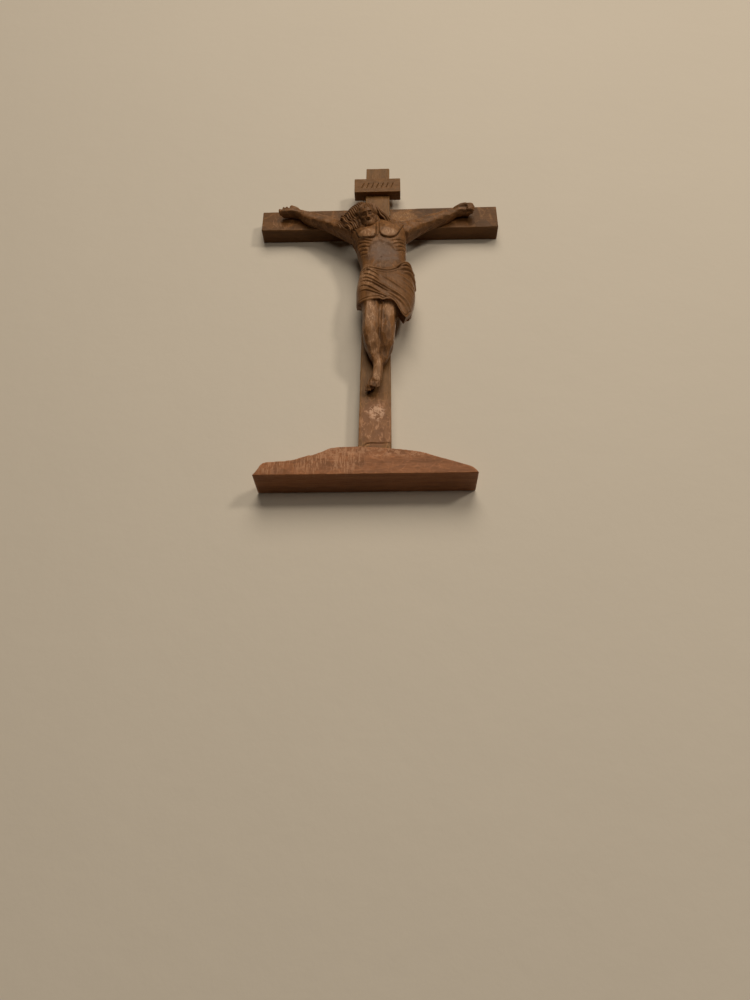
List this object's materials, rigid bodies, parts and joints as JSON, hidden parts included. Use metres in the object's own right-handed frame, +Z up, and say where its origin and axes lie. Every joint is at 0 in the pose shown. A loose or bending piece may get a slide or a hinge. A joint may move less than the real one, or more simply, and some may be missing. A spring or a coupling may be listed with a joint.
{
  "type": "wall crucifix",
  "caption": "Carved wooden crucifix on a low hill-shaped base board, flat at the back to hang against a wall.",
  "frame": {"origin": "on the flat back, in the plane of the wall, at the middle of the crossing of post and beam", "axes": "+X to the right of someone facing the front, +Y into the wall, +Z up"},
  "size_m": [0.3132, 0.0648, 0.5072],
  "materials": {
    "hill_wood": "oiled reddish brown wood, chisel marks on its front",
    "post_wood": "oiled brown wood, grain along the post",
    "beam_wood": "oiled brown wood, grain along the beam",
    "title_wood": "oiled brown wood",
    "corpus_wood": "knife-carved wood with a soft wax sheen"
  },
  "bodies": {
    "root": {"hill_base": "hill_wood", "cross_post": "post_wood", "cross_beam": "beam_wood", "title_board": "title_wood", "corpus": "corpus_wood"}
  },
  "joints": []
}
